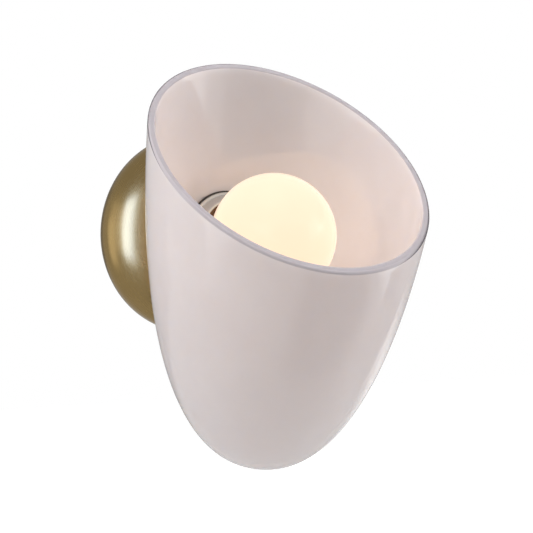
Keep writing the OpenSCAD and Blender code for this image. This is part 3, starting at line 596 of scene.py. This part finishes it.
class SCONCE_OT_ring(bpy.types.Operator):
    """Turns the shade ring, rolls its lip and serrates its collar"""
    bl_idname = "sconce.ring"
    bl_label = "Shade ring"

    def execute(self, context):
        steps = 2 * context.scene.sconce.metal.grip_count
        rim_r, edge, lip_r, lip_round = 28.4, 0.35, 23.65, 1.05
        piece = new_piece("ring_nut")
        turn([at(BORE_R, RING_BACK), at(rim_r - edge, RING_BACK),
              *arc(rim_r - edge, RING_BACK + edge, edge, -60, 0, 3), *arc(rim_r - edge, COLLAR - edge, edge, 0, 90, 4),
              at(26.9, COLLAR), at(26.5, COLLAR + 0.3), at(26.35, COLLAR + 1), at(25.3, LIP - 2.6),
              at(25.15, LIP - 1.9), *arc(lip_r, LIP - lip_round, lip_round, 0, 180, 10), at(BORE_R, LIP - 2)], steps)
        # serrate the collar: every second line of the turned mesh is pressed in
        inner_r, back, front, pressed = 24.5 * MM, (COLLAR + 0.9) * MM, (LIP - 2.5) * MM, 0.9885

        def in_groove(v):
            """Whether a vertex is on the collar's outside and on a line that becomes a groove."""
            line = round(math.atan2(v.co.z, v.co.x) / (TURN / steps))
            return line % 2 == 1 and math.hypot(v.co.x, v.co.z) > inner_r and back < -v.co.y < front

        pick(piece, in_groove)
        bpy.ops.transform.resize(value=(pressed, 1, pressed), center_override=(0, 0, 0))
        close_up(piece)
        dress(piece, [finish("nickel_plate_satin")], "fixture", ["shade_ring"], angle=50)
        return {"FINISHED"}


def roll_thread(piece, rest_r, start, end, male):
    """Rolls a lamp thread into a plain tube: the sheet's radius follows a helix between two distances
    from the wall, and runs out over half a pitch at both ends."""
    for v in piece.data.vertices:
        w = -v.co.y / MM
        share = max(0.0, min(1.0, (w - start) / (PITCH / 2), (end - w) / (PITCH / 2)))
        wave = (1 + math.cos(TURN * w / PITCH - math.atan2(v.co.z, v.co.x))) / 2
        swell = THREAD_DEPTH * (wave * share if male else 1 - (1 - wave) * share)
        scale = (rest_r + swell) / rest_r
        v.co.x *= scale
        v.co.z *= scale


def sheet_tube(name, r, start, end, male, rows=96):
    """A rolled sheet-metal tube with a lamp thread. Its sheet lies inside the radius if the thread is male,
    and outside it if not."""
    piece = turned(name, [at(r, start + (end - start) * i / rows) for i in range(rows + 1)], 72, closed=False)
    roll_thread(piece, r, start, end, male)
    apply_modifier(piece, "SOLIDIFY", thickness=SHEET * MM, offset=-1 if male else 1)
    return piece


class SCONCE_OT_holder(bpy.types.Operator):
    """Moulds the lampholder's body and rolls its screw shell"""
    bl_idname = "sconce.holder"
    bl_label = "Lampholder"

    def execute(self, context):
        groove, size, front = (MOUTH_R + HOLDER_R) / 2, 2.0, HOLDER_FRONT
        nipple_r, chamber_r, seat_r, shell_r = 4.9, 13.45, 14.9, 12.75
        piece = turned("holder_moulding", [
            at(nipple_r, HOLDER_BACK), *arc(HOLDER_R - 1, HOLDER_BACK + 1, 1, -90, 0, 5),
            *arc(HOLDER_R - 0.9, front - 0.9, 0.9, 0, 90, 5),
            at(groove + size + 0.2, front), at(groove + size - 0.1, front - 0.25),
            at(groove + size / 2 + 0.2, front - size + 0.2), at(groove + size / 2, front - size),
            at(groove - size / 2, front - size), at(groove - size / 2 - 0.2, front - size + 0.2),
            at(groove - size + 0.1, front - 0.25), at(groove - size - 0.2, front),
            *arc(MOUTH_R + 0.35, front - 0.35, 0.35, 90, 180, 3),
            at(MOUTH_R, SHELL), at(seat_r, SHELL), at(seat_r, DISC), at(chamber_r, DISC),
            at(chamber_r, CHAMBER), at(nipple_r, CHAMBER)], 128)
        dress(piece, [finish("phenolic_moulded")], "fixture", ["holder_body"])
        shell = sheet_tube("threaded_shell", shell_r, SHELL + 0.6, front - 0.3, male=False)
        dress(shell, [finish("brass_strip_stamped")], "fixture", ["screw_shell"], angle=60)
        return {"FINISHED"}


class SCONCE_OT_lamp(bpy.types.Operator):
    """Makes the bulb: blown globe, rolled cap, black glass, contact, stem, wires and coiled filament"""
    bl_idname = "sconce.lamp"
    bl_label = "Globe bulb"

    def execute(self, context):
        s = context.scene.sconce.lamp
        big, fillet, neck, wall = s.diameter / 2 / MM, 14.0, 14.2, 1.0
        sleeve_in, sleeve_out, sleeve_end, cap_r = 10.55, 11.55, 61, 12.35
        reach = math.sqrt((big + fillet) ** 2 - (fillet + neck) ** 2)
        tangent = math.degrees(math.atan2(reach, fillet + neck))
        hollow = (fillet + neck, GLOBE - reach)

        def skin(inset):
            """The glass from its neck round the hollow and over the ball to its front."""
            curve = [at(hollow[0] - (fillet + inset) * math.cos(math.radians(tangent * i / 20)),
                        hollow[1] + (fillet + inset) * math.sin(math.radians(tangent * i / 20)))
                     for i in range(21)]
            ball = arc(0, GLOBE, big - inset, -tangent, 90, 56)[1:]
            ball[-1].x = 0
            return curve + ball

        piece = turned("lamp_globe", [
            at(sleeve_in, sleeve_end), at(sleeve_out, sleeve_end), at(sleeve_out, CAP_END),
            at(neck - 0.4, CAP_END), at(neck, CAP_END + 0.4), *skin(0), *skin(wall)[::-1],
            at(neck - wall, CAP_END + 1), at(sleeve_in, CAP_END + 1)], 128)
        dress(piece, [lamp_glass(s.glow, s.strength)], "bulb", ["bulb_globe"])

        cap = sheet_tube("lamp_cap", cap_r, CAP, CAP_END, male=True)
        dress(cap, [finish("nickel_cap_rolled")], "bulb", ["bulb_cap"], angle=60)

        glass = turned("lamp_insulator", [
            at(0, BUTTON_TOP), at(5.4, BUTTON_TOP), at(5.9, BUTTON_TOP + 0.25), at(11.9, CAP - 0.25),
            at(12.3, CAP), at(0, CAP)], 64)
        dress(glass, [finish("cap_glass_fused")], "bulb", ["bulb_insulator"])

        drop = turned("lamp_contact", [
            at(0, BUTTON), at(2, BUTTON + 0.03), at(3.2, BUTTON + 0.2), at(4.1, BUTTON + 0.5),
            at(4.5, BUTTON_TOP), at(0, BUTTON_TOP)], 48)
        dress(drop, [finish("tin_solder_drop")], "bulb_core", ["bulb_button"])

        stem = turned("lamp_stem", [
            at(0, 66), at(10.5, 66), at(10.5, 67), at(7.5, 67.6), at(5, 69.5), at(3.9, 72), at(3.5, 75),
            at(3.5, 91.5), at(3.2, 93), at(2.2, 93.8), at(0, 94)], 48)
        dress(stem, [finish("stem_glass_drawn")], "bulb", ["bulb_stem"])

        wires = tubes("lamp_wires", [[
            (side * 1.4, 94, 0), (side * 1.4, 95, 0), (side * 3.5, 99, 0), (side * 10, GLOBE - 6, 0),
            (side * 12, GLOBE - 2.9, 0), (side * 12, GLOBE - 0.9, 0)] for side in (-1, 1)], 0.4, 10)
        dress(wires, [finish("tungsten_wire_drawn")], "bulb", ["bulb_support_wires"])

        # wind the filament: a small ring of wire is screwed along the coil's axis
        coil_len, windings, coil_r, wire_r, steps = 25.6, 26, 0.7, 0.18, 12
        coil = new_piece("lamp_filament")
        bpy.ops.mesh.primitive_circle_add(
            vertices=8, radius=wire_r * MM, location=(-coil_len / 2 * MM, -GLOBE * MM, coil_r * MM),
            rotation=(UPRIGHT, 0, 0))
        bpy.ops.object.mode_set(mode="OBJECT")
        coil_axis = add_object("coil_axis")
        coil_axis.location = (0, -GLOBE * MM, 0)
        context.view_layer.update()
        apply_modifier(coil, "SCREW", axis="X", angle=TURN, iterations=windings,
                       screw_offset=coil_len / windings * MM, steps=steps, render_steps=steps, object=coil_axis)
        bpy.data.objects.remove(coil_axis)
        dress(coil, [finish("tungsten_wire_drawn")], "bulb", ["bulb_filament"])
        return {"FINISHED"}


def tubes(name, routes, radius, sides=12):
    """Bends round wire along routes of x, distance from the wall and z, in millimetres, as one mesh."""
    curve = bpy.data.curves.new(name, "CURVE")
    curve.dimensions, curve.bevel_depth = "3D", radius * MM
    curve.bevel_resolution, curve.use_fill_caps, curve.resolution_u = sides // 4, True, 4
    for route in routes:
        line = curve.splines.new("BEZIER")
        line.bezier_points.add(len(route) - 1)
        for point, (x, w, z) in zip(line.bezier_points, route):
            point.co = (x * MM, -w * MM, z * MM)
            point.handle_left_type = point.handle_right_type = "AUTO"
    activate(add_object(name, curve))
    bpy.ops.object.convert(target="MESH")
    piece = bpy.context.object
    bpy.ops.object.mode_set(mode="EDIT")
    return close_up(piece)


class SCONCE_OT_leads(bpy.types.Operator):
    """Runs the live, neutral and ground leads inside the fitting"""
    bl_idname = "sconce.leads"
    bl_label = "Leads"

    def execute(self, context):
        clamp_w, block_z, pole, tail, terminal, apart = 15.1, 9.0, 8.0, 18.7, 40.0, 1.25
        for side, name, node, colour in ((1, "live_wire", "live_lead", "black"),
                                         (-1, "neutral_wire", "neutral_lead", "white")):
            route = [(side * pole, clamp_w, block_z + 4), (side * pole, clamp_w, block_z),
                     (side * pole, clamp_w + 0.2, block_z - 2), (side * (pole - 0.8), clamp_w + 0.8, block_z - 4),
                     (side * (pole - 3), clamp_w + 1.8, block_z - 6 + side * 0.6),
                     (side * 3, tail - 1.2, side * apart * 1.1), (side * 1.4, tail + 0.2, side * apart),
                     (side * 0.4, tail + 2, side * apart), (0, tail + 4, side * apart),
                     (0, CHAMBER - 1, side * apart), (0, CHAMBER + 0.6, side * (apart + 0.2)),
                     (0, CHAMBER + 1.9, side * (apart + 1)), (0, terminal - 0.2, side * (apart + 2.2)),
                     (0, terminal, side * (apart + 3.4)), (0, terminal, side * 9)]
            piece = tubes(name, [route], LEAD_R)
            dress(piece, [finish(f"pvc_{colour}_extruded")], "fixture", [node])
        # the ground lead makes half a turn between the barrels of its two lugs
        strap_w, nut_w, strap_z, nut_z, barrel_len = 11.4, 26.2, -21.0, -10.7376, 5
        bend = (nut_w - strap_w) / 2
        half_turn = [(0, strap_w + bend * (1 + math.cos(math.radians(a))),
                      strap_z - barrel_len - bend * math.sin(math.radians(a))) for a in range(0, 181, 20)]
        piece = tubes("ground_wire", [[(0, nut_w, nut_z - 1), *half_turn, (0, strap_w, strap_z - 1)]], LEAD_R)
        dress(piece, [finish("pvc_green_extruded")], "fixture", ["ground_lead"])
        return {"FINISHED"}


# Small hardware: the node, its finish, and the width of its rounded edges in millimetres
HARDWARE = [
    ("mounting_strap", "strap_pressing", "zinc_steel_pressed", "zinc_steel", 0.3),
    ("ground_screw", "ground_screw_head", "green_lacquer_steel", "green_paint", 0.25),
    ("terminal_block", "block_moulding", "polyamide_moulded", "white_nylon", 0.35),
    ("terminal_clamps", "clamp_tubes", "brass_strip_stamped", "contact_brass", 0.12),
    ("terminal_screws", "clamp_screws", "zinc_steel_pressed", "zinc_steel", 0.1),
    ("block_screws", "fixing_screws", "zinc_steel_pressed", "zinc_steel", 0.12),
    ("canopy_screws", "side_screws", "satin_brass_spun", "satin_brass", 0.15),
    ("nipple", "threaded_nipple", "zinc_steel_pressed", "zinc_steel", 0.15),
    ("lock_washer", "notched_washer", "zinc_steel_pressed", "zinc_steel", 0.1),
    ("canopy_nut", "hexagon_nut", "brass_strip_stamped", "contact_brass", 0.4),
    ("outer_gasket", "rear_gasket", "rubber_sheet_cut", "black_rubber", 0.2),
    ("inner_gasket", "front_gasket", "rubber_sheet_cut", "black_rubber", 0.2),
    ("insulating_disc", "fibre_disc", "fibre_board_punched", "insulating_board", 0.15),
    ("shell_tab", "shell_strap", "brass_strip_stamped", "contact_brass", 0.1),
    ("contact_foot_strip", "contact_foot", "brass_strip_stamped", "contact_brass", 0.1),
    ("contact_tongue", "contact_spring_strip", "brass_strip_stamped", "contact_brass", 0.1),
    ("contact_rivets", "rivet_heads", "brass_strip_stamped", "contact_brass", 0.15),
    ("holder_terminals", "wire_terminals", "brass_strip_stamped", "contact_brass", 0.2),
    ("ground_lugs", "crimp_lugs", "brass_strip_stamped", "contact_brass", 0.12),
]


class SCONCE_OT_hardware(bpy.types.Operator):
    """Breaks the edges of the small stamped and moulded pieces and gives them their finishes"""
    bl_idname = "sconce.hardware"
    bl_label = "Small hardware"

    def execute(self, context):
        for node, name, coat, slot, width in HARDWARE:
            source = frame["nodes"][node]
            piece = add_object(name, source.data.copy())
            piece.data.name = name
            activate(piece)
            bpy.ops.object.mode_set(mode="EDIT")
            bpy.ops.mesh.select_all(action="SELECT")
            bpy.ops.mesh.remove_doubles(threshold=0.01 * MM)
            bpy.ops.mesh.dissolve_limited(angle_limit=math.radians(0.5))
            bpy.ops.object.mode_set(mode="OBJECT")
            apply_modifier(piece, "BEVEL", width=width * MM, segments=2, limit_method="ANGLE",
                           angle_limit=math.radians(40))
            piece.data.materials.clear()
            dress(piece, [finish(coat)], source["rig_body"], [node])
        return {"FINISHED"}


# Softboxes: name, degrees round from the front and degrees up, both from the object, and power in watts
SOFTBOXES = [
    ("soft_left_low", -100, 5, 7),
    ("soft_left_high", -100, 40, 9),
    ("soft_left_top", -65, 60, 10),
    ("soft_top", 0, 85, 10),
    ("soft_right_front", 50, 20, 6.5),
    ("soft_right_low", 85, 5, 5.8),
    ("soft_right_high", 85, 40, 10),
]

# Reflector cards, seen by reflections alone: name, place and size in metres, how each is turned, brightness
# and where the border's fade starts (half the card is 0.5)
CARDS = [
    ("card_above", (0, -0.1, 1.45), (6.6, 6.6), (0, 0, 0), 0.5, 0.34),
    ("card_below", (-0.7, 0.35, -1.07), (6.6, 8.0), (0, 0, 0), 0.6, 0.34),
    ("card_dark", (0.55, -1.5, -1.06), (1.9, 1.9), (0, 0, 0), 0.08, 0.34),
    ("card_front", (0, -2.65, 0.15), (4.6, 2.4), (UPRIGHT, 0, 0), 0.5, 0.34),
    ("card_left_light", (-1.8, -0.19, -0.25), (1.2, 1.6), (UPRIGHT, 0, -1.536), 1.3, 0.3),
    ("card_right_light", (1.7, -0.61, -0.25), (1.2, 1.6), (UPRIGHT, 0, 1.29), 1.9, 0.3),
    ("card_left_side", (-1.324, 0.574, -0.15), (0.8, 1.8), (UPRIGHT, -0.2, -2.06), 0.6, 0.485),
    ("card_right_side", (1.4, 0.06, -0.15), (0.72, 1.8), (UPRIGHT, 0.2, 1.69), 0.42, 0.485),
    ("card_left_back", (-2.4, 2.1, -0.15), (4.6, 3.6), (UPRIGHT, 0, UPRIGHT), 0.65, 0.34),
    ("card_right_back", (2.5, 1.0, 0.5), (5.2, 3.0), (UPRIGHT, 0, UPRIGHT), 0.42, 0.34),
    ("card_back", (0, 3.0, 0.3), (7.0, 4.4), (UPRIGHT, 0, 0), 0.32, 0.34),
]


# The floor's size and level, where the softboxes look, how far off they stand and their size, in metres
FLOOR_SIZE, FLOOR_LEVEL = 14, -1.1
AIM, SOFTBOX_FAR, SOFTBOX_SIZE = Vector((0, -0.11, -0.02)), 1.8, (1.0, 1.2)

# How much the paper glows to the eye, and how much light the white surround gives to things
PAPER_GLOW, ROOM_LIGHT = 0.7, 0.37

# The camera fitted to the photograph: lens and sensor in millimetres, turn and rise in degrees, then distance
# and target in millimetres
LENS, SENSOR = 99.47, 36
CAMERA_TURN, CAMERA_RISE, CAMERA_FAR, CAMERA_TARGET = -28.646, 2.12, 944.234, (0, -110.146, -19.816)


def direction(round_, up):
    """The unit vector that points from the object to a turn round it from the front and a height, in degrees."""
    round_, up = math.radians(round_), math.radians(up)
    return Vector((math.sin(round_) * math.cos(up), -math.cos(round_) * math.cos(up), math.sin(up)))


def softbox(name, aim, round_, up, far, size, watts, colour=(1, 1, 1)):
    """A rectangular softbox that looks at a point from a turn round it and a height, in degrees."""
    light = bpy.data.lights.new(name, "AREA")
    light.shape, light.size, light.size_y, light.energy, light.color = "RECTANGLE", *size, watts, colour
    lamp = add_object(name, light)
    lamp.location = aim + far * direction(round_, up)
    lamp.rotation_euler = (aim - lamp.location).to_track_quat("-Z", "Y").to_euler()
    lamp.visible_camera = False
    return lamp


def set_floor():
    """Lays a sheet of pale paper."""
    deselect()
    bpy.ops.mesh.primitive_plane_add(size=FLOOR_SIZE, location=(0, 0, FLOOR_LEVEL))
    floor = bpy.context.object
    floor.name = "studio_floor"
    material, tree, shader = empty_material("studio_floor_paper")
    place = add_node(tree, "ShaderNodeTexCoord")
    noise = add_node(tree, "ShaderNodeTexNoise", {"Vector": place.outputs["Object"], "Scale": 40.0})
    two_tone(tree, shader, noise.outputs["Fac"], "ECECEA", "F1F1EF", (0.85, 0.95))
    # to the eye, in metal and through glass the paper is white, and a shadow on it still darkens it
    lift = add_node(tree, "ShaderNodeMath", {0: white_seen(tree), 1: PAPER_GLOW}, operation="MULTIPLY")
    tree.links.new(lift.outputs[0], shader.inputs["Emission Strength"])
    shader.inputs["Emission Color"].default_value = (1, 1, 1, 1)
    floor.data.materials.append(material)


def set_surround():
    """Makes the world white to the eye, in metal and through glass, and dimmer as a light on things."""
    world = bpy.data.worlds.new("studio")
    bpy.context.scene.world = world
    tree = clear_tree(world)
    room = add_node(tree, "ShaderNodeBackground", {"Color": (1, 1, 1, 1), "Strength": ROOM_LIGHT})
    white = add_node(tree, "ShaderNodeBackground", {"Color": (1, 1, 1, 1), "Strength": 1.0})
    mix = add_node(tree, "ShaderNodeMixShader", {0: white_seen(tree), 1: room.outputs[0], 2: white.outputs[0]})
    add_node(tree, "ShaderNodeOutputWorld", {"Surface": mix.outputs[0]})


def set_lights():
    """Sets the softboxes, the strip for the brass and the light about the bulb."""
    for name, round_, up, watts in SOFTBOXES:
        softbox(name, AIM, round_, up, SOFTBOX_FAR, SOFTBOX_SIZE, watts).visible_glossy = False
    # the strip that the satin brass shows as its long highlight lights the brass alone
    strip = softbox("brass_strip", Vector((-0.05, -0.02, 0)), -36.5, 4, 2.0, (0.7, 1.7), 34, (0.3, 0.46, 1.0))
    brass = bpy.data.collections.new("brass")
    for name in ("brass_canopy", "brass_neck"):
        brass.objects.link(bpy.data.objects[name])
    strip.light_linking.receiver_collection = brass
    # a soft round light where the bulb is adds to the warm light on the glass about it
    glow = bpy.data.lights.new("bulb_glow", "POINT")
    glow.energy, glow.shadow_soft_size, glow.color = 0.025, 41 * MM, (1.0, 0.72, 0.55)
    glow.use_soft_falloff = False
    lamp = add_object("bulb_glow", glow)
    lamp.location = (0, -GLOBE * MM, 0)
    lamp.visible_camera = False


def card_paper():
    """The cards' material: it shines with the card's own grey, and fades to nothing at the card's border."""
    material = bpy.data.materials.new("studio_grey_card")
    tree = clear_tree(material)
    place = add_node(tree, "ShaderNodeTexCoord")
    sides = add_node(tree, "ShaderNodeVectorMath", {0: place.outputs["Object"]}, operation="ABSOLUTE")
    xyz = add_node(tree, "ShaderNodeSeparateXYZ", {0: sides.outputs[0]})
    border = add_node(tree, "ShaderNodeMath", {0: xyz.outputs[0], 1: xyz.outputs[1]}, operation="MAXIMUM")
    tone = add_node(tree, "ShaderNodeObjectInfo")
    solid = add_node(tree, "ShaderNodeMapRange", {
        "Value": border.outputs[0], "From Min": 0.5, "From Max": tone.outputs["Alpha"]},
        interpolation_type="SMOOTHSTEP")
    paper = add_node(tree, "ShaderNodeEmission", {"Color": tone.outputs["Color"]})
    clear = add_node(tree, "ShaderNodeBsdfTransparent")
    mix = add_node(tree, "ShaderNodeMixShader", {0: solid.outputs[0], 1: clear.outputs[0], 2: paper.outputs[0]})
    add_node(tree, "ShaderNodeOutputMaterial", {"Surface": mix.outputs[0]})
    return material


def set_cards():
    """Sets grey and light cards, as a studio does, so that gloss and metal show darker and brighter sides."""
    paper = card_paper()
    for name, spot, size, facing, level, fade in CARDS:
        bpy.ops.mesh.primitive_plane_add(size=1, location=spot, rotation=facing)
        card = bpy.context.object
        card.name, card.scale, card.color = name, (*size, 1), (level, level, level, fade)
        card.data.materials.append(paper)
        card.visible_camera = card.visible_diffuse = card.visible_transmission = False
        card.visible_shadow = card.visible_volume_scatter = False


def set_camera():
    """Sets the camera at the photograph's angle."""
    camera = bpy.data.cameras.new("camera")
    camera.lens, camera.sensor_width, camera.sensor_fit = LENS, SENSOR, "HORIZONTAL"
    camera.clip_start, camera.clip_end = 0.01, 50
    view = add_object("camera", camera)
    back = direction(CAMERA_TURN, CAMERA_RISE)
    view.location = Vector(CAMERA_TARGET) * MM + back * (CAMERA_FAR * MM)
    view.rotation_euler = (-back).to_track_quat("-Z", "Y").to_euler()
    bpy.context.scene.camera = view
    bpy.context.scene.view_settings.view_transform = "Standard"


class SCONCE_OT_stage(bpy.types.Operator):
    """Sets the pale floor, the white surround, the studio lights, the reflector cards and the camera"""
    bl_idname = "sconce.stage"
    bl_label = "Stage"

    def execute(self, context):
        set_floor()
        set_surround()
        set_lights()
        set_cards()
        set_camera()
        return {"FINISHED"}


OPERATORS = (SCONCE_OT_glass, SCONCE_OT_canopy, SCONCE_OT_neck, SCONCE_OT_ring, SCONCE_OT_holder, SCONCE_OT_lamp,
             SCONCE_OT_leads, SCONCE_OT_hardware, SCONCE_OT_stage)


class SCONCE_PT_panel(bpy.types.Panel):
    """Lists the sconce's sizes and the steps that make it"""
    bl_idname = "SCONCE_PT_panel"
    bl_label = "Sconce"
    bl_space_type = "VIEW_3D"
    bl_region_type = "UI"
    bl_category = "Sconce"

    def draw(self, context):
        settings = context.scene.sconce
        for group in (settings.glass, settings.metal, settings.lamp):
            for key in group.bl_rna.properties.keys():
                if key not in ("rna_type", "name"):
                    self.layout.prop(group, key)
        for step in OPERATORS:
            self.layout.operator(step.bl_idname)


CLASSES = (GlassSettings, MetalSettings, LampSettings, SconceSettings, *OPERATORS, SCONCE_PT_panel)


def register():
    for cls in CLASSES:
        bpy.utils.register_class(cls)
    bpy.types.Scene.sconce = PointerProperty(type=SconceSettings)


def unregister():
    del bpy.types.Scene.sconce
    for cls in reversed(CLASSES):
        bpy.utils.unregister_class(cls)


def main():
    register()
    bpy.ops.sconce.glass()
    bpy.ops.sconce.canopy()
    bpy.ops.sconce.neck()
    bpy.ops.sconce.ring()
    bpy.ops.sconce.holder()
    bpy.ops.sconce.lamp()
    bpy.ops.sconce.leads()
    bpy.ops.sconce.hardware()
    bpy.ops.sconce.stage()


if __name__ == "__main__":
    main()
